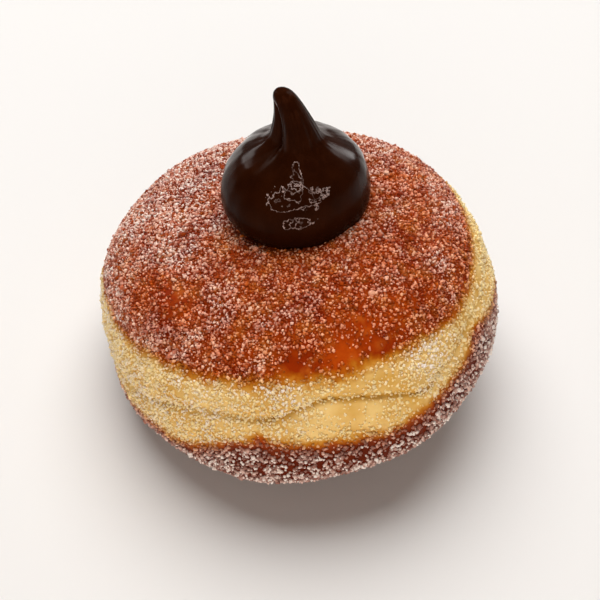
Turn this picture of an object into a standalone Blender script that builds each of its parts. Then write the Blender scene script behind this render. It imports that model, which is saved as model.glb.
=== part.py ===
"""Filled doughnut: a round sugared bun with a pale waist, and a piped chocolate dollop on its crown.

Metres, +Z up. The origin lies on the flat foot that the bun rests on, straight below the middle of its
widest ring. The side that is seen from the front faces -Y.
"""

import math
import random

import bmesh
import bpy
from mathutils import Euler, Matrix, Vector, noise

# Bun: a flattened ball that leans a little, as it puffed up unevenly in the fryer
RADIUS = 0.0437
CROWN_HEIGHT = 0.0345
BASE_HEIGHT = 0.0172
CROWN_FULLNESS = 3.0
BASE_FULLNESS = 2.0
TILT_BACK = math.radians(-5.3)
TILT_LEFT = math.radians(-10.3)
SHEAR_X = -0.05
SHEAR_Y = 0.10
OVAL = -0.020
OVAL_AZIMUTH = math.radians(45)
THREE_LOBE = 0.014
THREE_LOBE_AZIMUTH = math.radians(32)
DENT_SIZE = 0.020
DENT_DEPTH = 0.0006
RING_CENTRE_Z = 0.0156

# Waist: the pale ring that never lay in the oil, with the crease where it folded in.
# The crease's line goes round the bun, as azimuth in degrees and height above the widest ring's middle.
CREASE_LINE = (
    (0, 0.0185),
    (45, 0.0100),
    (90, 0.0045),
    (135, 0.0020),
    (180, 0.0010),
    (205, 0.0015),
    (218, 0.0040),
    (233, 0.0095),
    (247, 0.0135),
    (264, 0.0155),
    (271, 0.0172),
    (279, 0.0199),
    (290, 0.0198),
    (300, 0.0180),
    (309, 0.0162),
    (318, 0.0174),
    (336, 0.0198),
    (360, 0.0185),
)
CREASE_DEPTH = 0.0013
CREASE_WIDTH = 0.0016
CREASE_DEEPEST = math.radians(75)
CREASE_EVENNESS = 0.72
ROLL_HEIGHT = 0.0005
ROLL_OFFSET = 0.0042

BUN_SEGMENTS = 72
BUN_RINGS = 42
WAIST_LOW = math.radians(-12)
WAIST_HIGH = math.radians(46)
WAIST_START = 0.27
WAIST_END = 0.68

# Sugar: the coarsest crystals and clumps, sunk part way into the crust
CRYSTAL_COUNT = 210
CRYSTAL_SIZE = 0.0012
CRYSTAL_LENGTH = (0.9, 1.5)
CRYSTAL_BREADTH = (0.7, 1.1)
CRYSTAL_THICKNESS = (0.8, 1.1)
CRYSTAL_TAPER = (0.55, 0.95)
CRYSTAL_TUMBLE = 0.5
CRYSTAL_SINK = 0.35
CRYSTAL_SEED = 11
FOOT_CLEARANCE = 0.0030
DOLLOP_CLEARANCE = 0.0185

# Dollop: a round mound drawn up into a horn that bends over at its tip.
# Its profile goes from the bottom to the tip, as height above the seat and radius.
DOLLOP_X = -0.0017
DOLLOP_Y = 0.0026
DOLLOP_BASE_Z = RING_CENTRE_Z + 0.0340
DOLLOP_PROFILE = (
    (-0.0025, 0.0108),
    (0.0000, 0.0133),
    (0.0022, 0.0148),
    (0.0048, 0.0153),
    (0.0075, 0.0151),
    (0.0100, 0.0145),
    (0.0128, 0.0133),
    (0.0150, 0.0116),
    (0.0168, 0.0092),
    (0.0181, 0.0072),
    (0.0197, 0.0056),
    (0.0217, 0.0048),
    (0.0246, 0.0039),
    (0.0272, 0.0032),
    (0.0298, 0.0025),
    (0.0315, 0.0018),
    (0.0322, 0.0000),
)
DOLLOP_OVAL = 0.035
DOLLOP_FLAT = 0.055
DOLLOP_FLAT_AZIMUTH = math.radians(318)
DOLLOP_FLAT_SPREAD = math.radians(30)
DOLLOP_BOTTOM_SHARE = 0.08
DOLLOP_RING_EASE = 0.92
HORN_START = 0.0155
HORN_HEIGHT = 0.0322
HORN_BEND = -0.0029
HORN_CURL = 2.4
SHOULDER_HEIGHT = 0.0145
SHOULDER_SPREAD = 0.0040
SHOULDER_SHIFT = 0.0006
HORN_GROOVE = 0.42
HORN_GROOVE_LENGTH = 0.89
HORN_GROOVE_AZIMUTH = math.radians(213)
HORN_GROOVE_SPREAD = math.radians(25)
DOLLOP_SEGMENTS = 36
DOLLOP_RINGS = 28
SEAT_GAP = 0.0003

CRUST_BROWN = (0.42, 0.13, 0.025, 1.0)
CHOCOLATE_BROWN = (0.028, 0.008, 0.004, 1.0)
CRUST_ROUGHNESS = 0.55
CHOCOLATE_ROUGHNESS = 0.22
SHARP_ANGLE = math.radians(50)
POLE = 0.99999


def clear_scene():
    for old in list(bpy.data.objects):
        bpy.data.objects.remove(old, do_unlink=True)


def new_collection(name):
    collection = bpy.data.collections.new(name)
    bpy.context.scene.collection.children.link(collection)
    return collection


def new_material(name, colour, roughness):
    material = bpy.data.materials.new(name)
    material.use_nodes = True
    shader = material.node_tree.nodes["Principled BSDF"]
    shader.inputs["Base Color"].default_value = colour
    shader.inputs["Roughness"].default_value = roughness
    shader.inputs["Metallic"].default_value = 0.0
    return material


def bell(distance, width):
    """1 at the middle, falling smoothly to nothing over a few widths."""
    return math.exp(-((distance / width) ** 2))


def turn_between(a, b):
    """The signed angle from b to a, the short way round."""
    return (a - b + math.pi) % (2 * math.pi) - math.pi


def smooth_steps(stations, x):
    """The value at x on a smooth curve through stations of (x, value)."""
    last = len(stations) - 1
    span = next((i for i in range(last) if x <= stations[i + 1][0]), last - 1)
    before, start, end, after = (stations[min(max(span + k, 0), last)] for k in (-1, 0, 1, 2))
    width = end[0] - start[0]
    share = min(max((x - start[0]) / width, 0.0), 1.0)
    slope_start = (end[1] - before[1]) / (end[0] - before[0]) * width
    slope_end = (after[1] - start[1]) / (after[0] - start[0]) * width
    square, cube = share**2, share**3
    return (
        start[1] * (2 * cube - 3 * square + 1)
        + slope_start * (cube - 2 * square + share)
        + end[1] * (3 * square - 2 * cube)
        + slope_end * (cube - square)
    )


def waist_latitude(share):
    """The latitude of a ring that lies this share of the way up: rings stand closer together at the waist."""
    if share < WAIST_START:
        return -math.pi / 2 + (WAIST_LOW + math.pi / 2) * share / WAIST_START
    if share < WAIST_END:
        along = (share - WAIST_START) / (WAIST_END - WAIST_START)
        return WAIST_LOW + (WAIST_HIGH - WAIST_LOW) * along
    along = (share - WAIST_END) / (1 - WAIST_END)
    return WAIST_HIGH + (math.pi / 2 - WAIST_HIGH) * along


def crease_relief(azimuth, height):
    """How far the waist's skin lies above or below the smooth bun: two soft rolls with the crease between."""
    above = height - smooth_steps(CREASE_LINE, math.degrees(azimuth % math.tau))
    swing = (1 - CREASE_EVENNESS) * math.cos(2 * (azimuth - CREASE_DEEPEST))
    groove = -CREASE_DEPTH * (CREASE_EVENNESS + swing) * bell(above, CREASE_WIDTH)
    rolls = bell(above - ROLL_OFFSET, ROLL_OFFSET) + bell(above + ROLL_OFFSET, ROLL_OFFSET)
    return groove + ROLL_HEIGHT * rolls


def bun_point(azimuth, latitude, outset=0.0):
    """A point on the bun's skin, or outset above it."""
    fullness = CROWN_FULLNESS if latitude >= 0 else BASE_FULLNESS
    height = CROWN_HEIGHT if latitude >= 0 else BASE_HEIGHT
    across, up = math.cos(latitude), abs(math.sin(latitude))
    reach = (across**fullness + up**fullness) ** (-1 / fullness)
    lobes = OVAL * math.cos(2 * (azimuth - OVAL_AZIMUTH))
    lobes += THREE_LOBE * math.cos(3 * (azimuth - THREE_LOBE_AZIMUTH))
    radius = reach * across * (RADIUS * (1 + lobes) + outset)
    rise = math.copysign(reach * up * (height + outset), latitude)
    level = Vector((radius * math.cos(azimuth), radius * math.sin(azimuth), rise))
    level.x += SHEAR_X * rise
    level.y += SHEAR_Y * rise
    point = Matrix.Rotation(TILT_LEFT, 3, "Y") @ Matrix.Rotation(TILT_BACK, 3, "X") @ level
    outward = Vector((math.cos(azimuth) * across, math.sin(azimuth) * across, math.sin(latitude)))
    dent = DENT_DEPTH * noise.noise(point / DENT_SIZE)
    point += outward * (crease_relief(azimuth, point.z) * across + dent)
    point.z = max(point.z + RING_CENTRE_Z, 0.0)
    return point


def shaped_ball(name, segments, rings, place):
    """A ball primitive with each of its points put where place(azimuth, share of the way up) says."""
    mesh = bpy.data.meshes.new(name)
    shape = bmesh.new()
    bmesh.ops.create_uvsphere(shape, u_segments=segments, v_segments=rings, radius=1.0)
    for vertex in shape.verts:
        azimuth = math.atan2(vertex.co.y, vertex.co.x) if abs(vertex.co.z) < POLE else 0.0
        share = 1 - math.acos(min(max(vertex.co.z, -1.0), 1.0)) / math.pi
        vertex.co = place(azimuth % (2 * math.pi), share)
    bmesh.ops.recalc_face_normals(shape, faces=shape.faces)
    bmesh.ops.triangulate(shape, faces=shape.faces)
    shape.to_mesh(mesh)
    shape.free()
    return bpy.data.objects.new(name, mesh)


def make_bun(collection, material):
    bun = shaped_ball(
        "doughnut", BUN_SEGMENTS, BUN_RINGS, lambda azimuth, share: bun_point(azimuth, waist_latitude(share))
    )
    collection.objects.link(bun)
    bun.data.materials.append(material)
    return bun


def crystal_places():
    """Places spread evenly over the bun by the golden angle, clear of its foot and of the dollop."""
    golden = math.pi * (3 - math.sqrt(5))
    for index in range(CRYSTAL_COUNT):
        level = 1 - 2 * (index + 0.5) / CRYSTAL_COUNT
        azimuth = (index * golden) % (2 * math.pi)
        latitude = math.asin(level)
        point = bun_point(azimuth, latitude)
        from_dollop = math.hypot(point.x - DOLLOP_X, point.y - DOLLOP_Y)
        under_dollop = point.z > RING_CENTRE_Z and from_dollop < DOLLOP_CLEARANCE
        if point.z > FOOT_CLEARANCE and not under_dollop:
            step = 0.01
            along = bun_point(azimuth + step, latitude) - point
            up = bun_point(azimuth, latitude + step) - point
            yield point, along.cross(up).normalized()


def add_crystals(bun):
    """Fuses the coarse sugar crystals to the bun, as small blocks with a random size and turn."""
    draw = random.Random(CRYSTAL_SEED)
    grains = new_collection("sugar crystals")
    for index, (point, outward) in enumerate(crystal_places()):
        shape = bmesh.new()
        bmesh.ops.create_cube(shape, size=1.0)
        taper = draw.uniform(*CRYSTAL_TAPER)
        for vertex in shape.verts:
            if vertex.co.z > 0:
                vertex.co.xy *= taper
        spans = (CRYSTAL_LENGTH, CRYSTAL_BREADTH, CRYSTAL_THICKNESS)
        stretch = Vector([CRYSTAL_SIZE * draw.uniform(*span) for span in spans])
        lean = [draw.uniform(-CRYSTAL_TUMBLE, CRYSTAL_TUMBLE) for _ in range(2)]
        tumble = Euler((*lean, draw.uniform(0, math.tau)))
        stand = outward.to_track_quat("Z", "Y").to_matrix() @ tumble.to_matrix()
        seat = point + outward * stretch.z * (0.5 - CRYSTAL_SINK)
        place = Matrix.Translation(seat) @ stand.to_4x4() @ Matrix.Diagonal(stretch.to_4d())
        shape.transform(place)
        mesh = bpy.data.meshes.new(f"crystal_{index}")
        shape.to_mesh(mesh)
        shape.free()
        grains.objects.link(bpy.data.objects.new(mesh.name, mesh))
    union = bun.modifiers.new("sugar", "BOOLEAN")
    union.operation = "UNION"
    union.operand_type = "COLLECTION"
    union.collection = grains
    union.solver = "MANIFOLD"
    apply_modifier(bun, union)
    for grain in list(grains.objects):
        bpy.data.objects.remove(grain, do_unlink=True)
    bpy.data.collections.remove(grains)


def apply_modifier(target, modifier):
    bpy.context.view_layer.objects.active = target
    bpy.ops.object.modifier_apply(modifier=modifier.name)


def dollop_point(azimuth, share):
    """A point on the dollop's skin: round rings, set along a line that bends over at the horn."""
    bottom, bottom_radius = DOLLOP_PROFILE[0]
    if share < DOLLOP_BOTTOM_SHARE:
        height = bottom
        radius = bottom_radius * share / DOLLOP_BOTTOM_SHARE
    else:
        along = (share - DOLLOP_BOTTOM_SHARE) / (1 - DOLLOP_BOTTOM_SHARE)
        height = bottom + (HORN_HEIGHT - bottom) * math.sin(along * math.pi / 2) ** DOLLOP_RING_EASE
        radius = max(smooth_steps(DOLLOP_PROFILE, height), 0.0)
    rise = min(max((height - HORN_START) / (HORN_HEIGHT - HORN_START), 0.0), 1.0)
    flat = DOLLOP_FLAT * bell(turn_between(azimuth, DOLLOP_FLAT_AZIMUTH), DOLLOP_FLAT_SPREAD)
    oval = 1 + (DOLLOP_OVAL * math.cos(2 * azimuth) - flat) * (1 - rise)
    groove = HORN_GROOVE * math.sin(math.pi * min(rise / HORN_GROOVE_LENGTH, 1.0))
    groove *= bell(turn_between(azimuth, HORN_GROOVE_AZIMUTH), HORN_GROOVE_SPREAD)
    radius *= oval * (1 - groove)
    shift = HORN_BEND * rise**HORN_CURL + SHOULDER_SHIFT * bell(height - SHOULDER_HEIGHT, SHOULDER_SPREAD)
    return Vector(
        (
            DOLLOP_X + shift + radius * math.cos(azimuth),
            DOLLOP_Y + radius * math.sin(azimuth),
            DOLLOP_BASE_Z + height,
        )
    )


def make_dollop(collection, cutters, material):
    """The dollop, with its underside cut to the crown it sits on."""
    dollop = shaped_ball("chocolate_dollop", DOLLOP_SEGMENTS, DOLLOP_RINGS, dollop_point)
    collection.objects.link(dollop)
    dollop.data.materials.append(material)
    seat = shaped_ball(
        "crown_seat",
        BUN_SEGMENTS,
        BUN_RINGS,
        lambda azimuth, share: bun_point(azimuth, waist_latitude(share), SEAT_GAP),
    )
    cutters.objects.link(seat)
    seat.hide_render = True
    seat.display_type = "WIRE"
    cut = dollop.modifiers.new("seat", "BOOLEAN")
    cut.operation = "DIFFERENCE"
    cut.solver = "EXACT"
    cut.object = seat
    return dollop


def round_off(piece):
    piece.data.shade_smooth()
    piece.data.set_sharp_from_angle(angle=SHARP_ANGLE)


def main():
    clear_scene()
    parts = new_collection("filled doughnut")
    cutters = new_collection("cutters")
    crust = new_material("fried crust", CRUST_BROWN, CRUST_ROUGHNESS)
    chocolate = new_material("chocolate cream", CHOCOLATE_BROWN, CHOCOLATE_ROUGHNESS)
    bun = make_bun(parts, crust)
    add_crystals(bun)
    dollop = make_dollop(parts, cutters, chocolate)
    for piece in (bun, dollop):
        round_off(piece)


main()
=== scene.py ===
"""Looks of the filled doughnut: the fried bun with its pale waist, its sugar, and the chocolate dollop.

Lengths are in metres, apart from names that end in _mm or _MM. The pieces stand in the same frame as
the solids: +Z up, the foot at z = 0, and the side that is seen from the front facing -Y.
"""

import math
from functools import partial

import bpy
import numpy as np
from bpy.props import FloatProperty, FloatVectorProperty, IntProperty, PointerProperty
from mathutils import Matrix, Vector, noise
from mathutils.bvhtree import BVHTree


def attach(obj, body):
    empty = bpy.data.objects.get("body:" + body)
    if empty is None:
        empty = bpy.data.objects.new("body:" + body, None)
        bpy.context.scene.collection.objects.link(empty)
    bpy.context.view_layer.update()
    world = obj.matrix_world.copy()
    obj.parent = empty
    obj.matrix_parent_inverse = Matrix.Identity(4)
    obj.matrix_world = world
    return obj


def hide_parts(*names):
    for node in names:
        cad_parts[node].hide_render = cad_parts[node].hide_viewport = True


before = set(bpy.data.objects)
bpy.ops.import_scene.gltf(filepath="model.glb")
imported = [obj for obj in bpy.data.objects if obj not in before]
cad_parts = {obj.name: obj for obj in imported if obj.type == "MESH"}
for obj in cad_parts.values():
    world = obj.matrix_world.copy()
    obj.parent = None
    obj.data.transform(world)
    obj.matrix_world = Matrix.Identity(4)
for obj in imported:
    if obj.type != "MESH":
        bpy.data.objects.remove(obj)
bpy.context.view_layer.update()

bl_info = {
    "name": "Filled Doughnut",
    "version": (1, 0, 0),
    "blender": (4, 5, 0),
    "location": "3D View > Sidebar > Doughnut",
    "description": "Models a sugared filled doughnut with a piped chocolate dollop",
    "category": "Object",
}

MM_PER_M = 1000
MM2_PER_M2 = 1e6
# How much weaker and how much finer each octave of noise is
NOISE_FALL = 0.6
NOISE_STEP = 2.0

# Bun: the same leaning, flattened ball as the solid, with finer relief
RADIUS = 0.0437
CROWN_HEIGHT = 0.0345
BASE_HEIGHT = 0.0172
CROWN_FULLNESS = 3.0
BASE_FULLNESS = 2.0
TILT_BACK = math.radians(-5.3)
TILT_LEFT = math.radians(-10.3)
SHEAR_X = -0.05
SHEAR_Y = 0.10
OVAL = -0.020
OVAL_AZIMUTH = math.radians(45)
THREE_LOBE = 0.014
THREE_LOBE_AZIMUTH = math.radians(32)
DENT_SIZE = 0.020
DENT_DEPTH = 0.0006
RING_CENTRE_Z = 0.0156
BUN_SEGMENTS = 400
BUN_RINGS = 240
WAIST_LOW = math.radians(-12)
WAIST_HIGH = math.radians(46)
WAIST_START = 0.27
WAIST_END = 0.68
WAIST_BLEND = 0.002
# How near to 1 a height on the unit ball is where the azimuth has no meaning
POLE = 0.99999

# Lines round the bun, as azimuth in degrees and height above the widest ring's middle
CREASE_LINE = (
    (0, 0.0185),
    (45, 0.0100),
    (90, 0.0045),
    (135, 0.0020),
    (180, 0.0010),
    (205, 0.0015),
    (218, 0.0040),
    (233, 0.0095),
    (247, 0.0135),
    (264, 0.0155),
    (271, 0.0172),
    (279, 0.0199),
    (290, 0.0198),
    (300, 0.0180),
    (309, 0.0162),
    (318, 0.0174),
    (336, 0.0198),
    (360, 0.0185),
)
CROWN_EDGE = (
    (0, 0.0260),
    (30, 0.0238),
    (60, 0.0190),
    (90, 0.0150),
    (120, 0.0124),
    (150, 0.0116),
    (180, 0.0118),
    (198, 0.0127),
    (212, 0.0144),
    (224, 0.0165),
    (236, 0.0188),
    (247, 0.0203),
    (262, 0.0222),
    (278, 0.0235),
    (293, 0.0252),
    (310, 0.0250),
    (330, 0.0243),
    (345, 0.0246),
    (360, 0.0260),
)
BASE_EDGE = (
    (0, 0.0125),
    (40, 0.0065),
    (90, 0.0005),
    (135, -0.0025),
    (180, -0.0035),
    (215, -0.0025),
    (235, 0.0005),
    (247, 0.0060),
    (255, 0.0092),
    (264, 0.0107),
    (284, 0.0108),
    (299, 0.0111),
    (312, 0.0127),
    (326, 0.0150),
    (336, 0.0165),
    (346, 0.0155),
    (360, 0.0125),
)
# Places on the bun, as x, y, height above the widest ring's middle and width, where the oil reached
# higher or lower than along the smooth edge, with how far in millimetres
BROWNING_SPOTS = (
    (-0.0032, -0.0368, 0.0240, 0.0042, -1.3),
    (0.0032, -0.0372, 0.0236, 0.0030, -0.6),
    (-0.0090, -0.0413, 0.0116, 0.0022, 2.2),
    (0.0021, -0.0420, 0.0128, 0.0035, -0.8),
    (0.0240, -0.0348, 0.0126, 0.0030, 0.8),
    (0.0367, -0.0172, 0.0161, 0.0024, 2.4),
)
# How sharply the crease shows round the bun, as azimuth in degrees and share
CREASE_SHARPNESS = (
    (0, 0.30),
    (90, 0.50),
    (180, 0.35),
    (215, 0.20),
    (240, 0.32),
    (258, 0.50),
    (268, 1.00),
    (303, 1.00),
    (318, 0.60),
    (332, 0.25),
    (360, 0.30),
)
CREASE_DEPTH = 0.0008
CREASE_WIDTH = 0.0013
CREASE_DEEPEST = math.radians(75)
CREASE_EVENNESS = 0.72
ROLL_HEIGHT = 0.0005
ROLL_OFFSET = 0.0042
SLIT_DEPTH = 0.0004
SLIT_WIDTH = 0.0005
CREASE_WANDER = 0.0006
CREASE_WANDER_SIZE = 0.004
LUMP_SIZE = 0.007
LUMP_HEIGHT = 0.00045
# How far away the noise for the lumps is read, so that it differs from the noise for the dents
LUMP_SHIFT = 0.1
BLISTER_SIZE = 0.0022
BLISTER_HEIGHT = 0.00006

# Sugar: places where it lies thin on the crown or thick on the waist, as x, y, height above the widest
# ring's middle, width and how much
BARE_SPOTS = (
    (0.0165, -0.0288, 0.0287, 0.0080, 0.36),
    (0.0073, -0.0345, 0.0266, 0.0060, 0.38),
    (-0.0025, -0.0365, 0.0248, 0.0042, 0.75),
    (-0.0326, -0.0117, 0.0248, 0.0050, 0.45),
    (-0.0269, -0.0179, 0.0268, 0.0045, 0.45),
)
THICK_SPOTS = (
    (-0.0036, -0.0389, 0.0212, 0.0055, 0.60),
    (0.0257, -0.0281, 0.0226, 0.0060, 0.70),
    (0.0113, -0.0394, 0.0176, 0.0060, -0.30),
)
# How thick it lies from 0 to 1, and how much it gains to one side and in drifts and flecks, whose noise
# is read at two places so that they differ
DRIFT_SIZE = 0.011
FLECK_SIZE = 0.0035
FLECK_SHIFT = 0.2
CROWN_COVER = 0.70
CROWN_LEAST = 0.05
CROWN_START_MM = (-0.5, 1.5)
CROWN_RIGHT = 0.14
CROWN_RIGHT_SPAN = (0.004, 0.028)
CROWN_BACK_LEFT = 0.30
BACK_LEFT = (-0.8, 0.6)
CROWN_DRIFTS = 0.20
CROWN_FLECKS = 0.18
WAIST_COVER = 0.50
WAIST_LEAST = 0.10
WAIST_LEFT = 0.35
WAIST_LEFT_SPAN = (-0.002, 0.020)
WAIST_DRIFTS = 0.25
WAIST_FLECKS = 0.25
BASE_COVER = 0.62
BASE_START_MM = (-0.5, 2.5)
BASE_LOW = 0.45
BASE_LOW_SPAN_MM = (1.0, 5.0)
BASE_FLECKS = 0.45
# How much the waist's skin is darkened under its sugar, as damp and painted shade
WAIST_DAMP_AND_SHADE = 0.2
# Spans over which it thins out towards the dollop's axis and towards the floor
DOLLOP_CLEAR = (0.0125, 0.0140)
FOOT_CLEAR = (0.0002, 0.0012)
# Crystals that would reach lower than this above the floor are left out
FLOOR_CLEARANCE = 0.0002
# Each crystal: spread of sizes, and as shares its sides, its narrow end and its lift off the skin
CRYSTAL_SPREAD = 0.22
CRYSTAL_SIDES = (0.55, 1.25)
CRYSTAL_TAPER = (0.5, 1.0)
CRYSTAL_LIFT = (0.05, 0.30)
# Only one crystal starts in each cube of this share of the grain, and the keys tell the cubes apart
CELL_SHARE = 0.5
CELL_KEYS = (73856093, 19349663, 83492791)
# Kinds of crystal, as piece, where it lies, shares of the grain's length and of the density, and the most
SUGAR_KINDS = (
    ("crown_sugar", "crown", 1.0, 1.0, 16600),
    ("crown_broken_sugar", "crown", 0.80, 1.0, 16600),
    ("crown_fine_sugar", "crown", 0.60, 1.0, 16600),
    ("waist_sugar", "waist", 0.90, 1.0, 15000),
    ("base_sugar", "base", 1.15, 1.5, 16000),
)

# Dollop: the piped mound and horn over the solid's, as height above the seat and radius
DOLLOP_X = -0.0017
DOLLOP_Y = 0.0026
DOLLOP_BASE_Z = RING_CENTRE_Z + 0.0340
DOLLOP_PROFILE = (
    (-0.0025, 0.0108),
    (0.0000, 0.0133),
    (0.0022, 0.0148),
    (0.0048, 0.0153),
    (0.0075, 0.0151),
    (0.0100, 0.0145),
    (0.0128, 0.0133),
    (0.0150, 0.0116),
    (0.0168, 0.0092),
    (0.0181, 0.0072),
    (0.0197, 0.0056),
    (0.0217, 0.0048),
    (0.0246, 0.0039),
    (0.0272, 0.0032),
    (0.0298, 0.0025),
    (0.0309, 0.0021),
    (0.0315, 0.0017),
    (0.0319, 0.0012),
    (0.0321, 0.0007),
    (0.0322, 0.0000),
)
DOLLOP_OVAL = 0.035
DOLLOP_FLAT = 0.055
DOLLOP_FLAT_AZIMUTH = math.radians(318)
DOLLOP_FLAT_SPREAD = math.radians(30)
DOLLOP_BOTTOM_SHARE = 0.08
DOLLOP_RING_EASE = 0.92
HORN_START = 0.0155
HORN_HEIGHT = 0.0322
HORN_BEND = -0.0029
HORN_CURL = 2.4
SHOULDER_HEIGHT = 0.0145
SHOULDER_SPREAD = 0.0040
SHOULDER_SHIFT = 0.0006
HORN_GROOVE = 0.42
HORN_GROOVE_LENGTH = 0.89
HORN_GROOVE_AZIMUTH = math.radians(213)
HORN_GROOVE_SPREAD = math.radians(25)
HORN_SLOT = 0.32
HORN_SLOT_AZIMUTH = math.radians(201)
HORN_SLOT_SPREAD = math.radians(11)
# Shares of the horn's rise over which the slot starts and ends
HORN_SLOT_START = (0.02, 0.25)
HORN_SLOT_END = (0.70, 0.88)
DOLLOP_SEGMENTS = 220
DOLLOP_RINGS = 200
DOLLOP_SINK = 0.0002
STREAK_DEPTH = 0.00022
STREAK_TURNS = 5.0
STREAK_LENGTH = 0.016
STREAK_FADE = 0.004
# Wrinkles of the set skin, as azimuth in degrees, height above the seat, half turn in degrees, half height
WRINKLE_RINGS = (
    (268, 0.0136, 22, 0.0017),
    (285, 0.0141, 15, 0.0009),
    (255, 0.0124, 9, 0.0011),
    (271, 0.0089, 12, 0.0011),
    (269, 0.0172, 7, 0.0015),
)
WRINKLE_WOBBLE = 0.45
WRINKLE_WOBBLE_SIZE = 0.0020
# Where the cream is wettest: the shoulders, as azimuth and spread in degrees, and the rim beside the slot
WET_SHOULDERS = ((28, 34), (152, 28))
WET_HEIGHT = 0.0135
WET_RISE = 0.0045
WET_STREAKS = 7.0
WET_STREAK_RISE = 20
WET_EVEN = 0.80
WET_UNEVEN = 0.70
WET_RIM_TURN = math.radians(15)
WET_RIM_SPREAD = math.radians(7)
WET_RIM_START = (0.0185, 0.0225)
WET_RIM_END = (0.0290, 0.0308)

# Camera: where the photo was taken from, found from the bun's outline
CAMERA_DISTANCE = 0.340
CAMERA_ELEVATION = math.radians(48)
PHOTO_WIDTH = 600
FOCAL_PX = 1485
RING_CENTRE_PX = (303.6, 323.5)
SENSOR_MM = 36.0
CLIP_START = 0.01

# Lights, each with its width and height, and its place: an overhead key, a low warm fill in front, and
# behind on both sides two that show only in gloss, such as on the dollop's shoulders
KEY_LIGHT = ((0.96, 0.96), (-0.02, 0.32, 0.80))
FILL_LIGHT = ((1.30, 0.40), (0.0, -0.80, 0.17))
WARM_LIGHT = (1.0, 0.93, 0.87)
BACK_LIGHTS = (
    ("back_left", (0.20, 0.50), (-0.60, 0.44, 0.44)),
    ("back_right", (0.24, 0.50), (0.54, 0.50, 0.46)),
)


def linear(hex_colour):
    """An sRGB hex colour as the linear values that Blender works with."""
    shares = [int(hex_colour[i : i + 2], 16) / 255 for i in (0, 2, 4)]
    return tuple(s / 12.92 if s <= 0.04045 else ((s + 0.055) / 1.055) ** 2.4 for s in shares)


def distance_property(label, words, size, **limits):
    return FloatProperty(
        name=label, description=words, default=size, subtype="DISTANCE", unit="LENGTH", **limits
    )


def colour_property(label, words, hex_colour):
    return FloatVectorProperty(
        name=label, description=words, default=linear(hex_colour), subtype="COLOR", size=3, min=0.0, max=1.0
    )


class CrustSettings(bpy.types.PropertyGroup):
    crown: colour_property("Crown", "Fried crust on the crown", "B64508")
    crown_dark: colour_property("Crown, dark", "Where the crown browned most", "942C04")
    crown_light: colour_property("Crown, light", "Where the crown browned least", "C4621C")
    amber: colour_property("Amber", "Crust just inside the edge of the browning", "B8620E")
    gold: colour_property("Gold", "The edge between the crust and the pale waist", "D08E30")
    dough: colour_property("Dough", "Pale dough of the waist", "F7D288")
    dough_deep: colour_property("Dough, deep", "Yellower dough in the folds", "E3B058")
    crease: colour_property("Crease", "Golden dough deep in the crease", "BE871E")
    # damp and painted shade: the colour the skin is darkened towards under the sugar
    base: colour_property("Base", "Fried crust round the base", "8E3812")
    damp_and_shade: colour_property("Damp and shade", "How dark the skin goes under the sugar", "7C3619")
    lump_height: distance_property(
        "Lumps", "How far the waist's soft lumps stand out", LUMP_HEIGHT, min=0.0, max=0.001
    )


class SugarSettings(bpy.types.PropertyGroup):
    white: colour_property("Sugar", "Granulated sugar crystals", "FBEEE4")
    glow: colour_property("Glow", "Crystals with light from the pale dough in them", "FFE7A8")
    grain: distance_property(
        "Grain", "Length of a granulated sugar crystal", 0.00046, min=0.0003, max=0.001
    )
    per_mm2: FloatProperty(
        name="Grains on 1 mm2",
        description="Crystals on each square millimetre where the sugar is thick",
        default=4.4,
        min=0.1,
        max=8.0,
    )
    seed: IntProperty(name="Seed", description="Starts the random places of the crystals", default=7, min=0)


class DollopSettings(bpy.types.PropertyGroup):
    chocolate: colour_property("Chocolate", "Set dark chocolate cream", "2A0F03")
    chocolate_deep: colour_property("Chocolate, deep", "Where the cream is darkest", "210A02")
    chocolate_light: colour_property("Chocolate, light", "Lines drawn up the horn", "36180B")
    # painted shade: the near black the cream goes to just above the crust
    chocolate_foot_shade: colour_property("Chocolate, foot", "Where the cream meets the crust", "0E0301")
    sheen: colour_property("Sheen", "Tint of the gloss on the cream", "FFDCC4")
    # painted highlight: a pale pinkish grey mixed into the cream along the wrinkle ridges, standing for
    # glints of light on them
    painted_glint: colour_property("Painted glint", "Dry film along the wrinkles of the set skin", "B49890")
    streaks: distance_property("Streaks", "Depth of the drawn streaks", STREAK_DEPTH, min=0.0, max=0.0006)


class StageSettings(bpy.types.PropertyGroup):
    floor: colour_property("Floor", "Plain pale floor", "E8E5E2")
    floor_size: distance_property("Floor size", "Side of the square floor", 2.4, min=0.5, max=10.0)
    key: FloatProperty(
        name="Key light", description="Power of the overhead light in watts", default=10.0, min=0.0
    )
    fill: FloatProperty(
        name="Fill light", description="Power of the front light in watts", default=4.2, min=0.0
    )
    back: FloatProperty(
        name="Back light",
        description="Watts from each square metre of the two lights behind",
        default=15.0,
        min=0.0,
    )
    sky: FloatProperty(
        name="Sky", description="Strength of the even light from all round", default=0.12, min=0.0
    )


def bell(distance, width):
    """1 at the middle, falling smoothly to nothing over a few widths."""
    return np.exp(-((distance / width) ** 2))


def turn_between(a, b):
    """The signed angle from b to a, the short way round."""
    return (a - b + math.pi) % (2 * math.pi) - math.pi


def smooth_steps(stations, x):
    """The values at x on a smooth curve through stations of (x, value)."""
    places, values = np.array(stations, float).T
    last = len(places) - 1
    span = np.clip(np.searchsorted(places, x) - 1, 0, last - 1)
    before, after = np.maximum(span - 1, 0), np.minimum(span + 2, last)
    width = places[span + 1] - places[span]
    share = np.clip((x - places[span]) / width, 0.0, 1.0)
    slope_start = (values[span + 1] - values[before]) / (places[span + 1] - places[before]) * width
    slope_end = (values[after] - values[span]) / (places[after] - places[span]) * width
    square, cube = share**2, share**3
    return (
        values[span] * (2 * cube - 3 * square + 1)
        + slope_start * (cube - 2 * square + share)
        + values[span + 1] * (3 * square - 2 * cube)
        + slope_end * (cube - square)
    )


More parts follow.
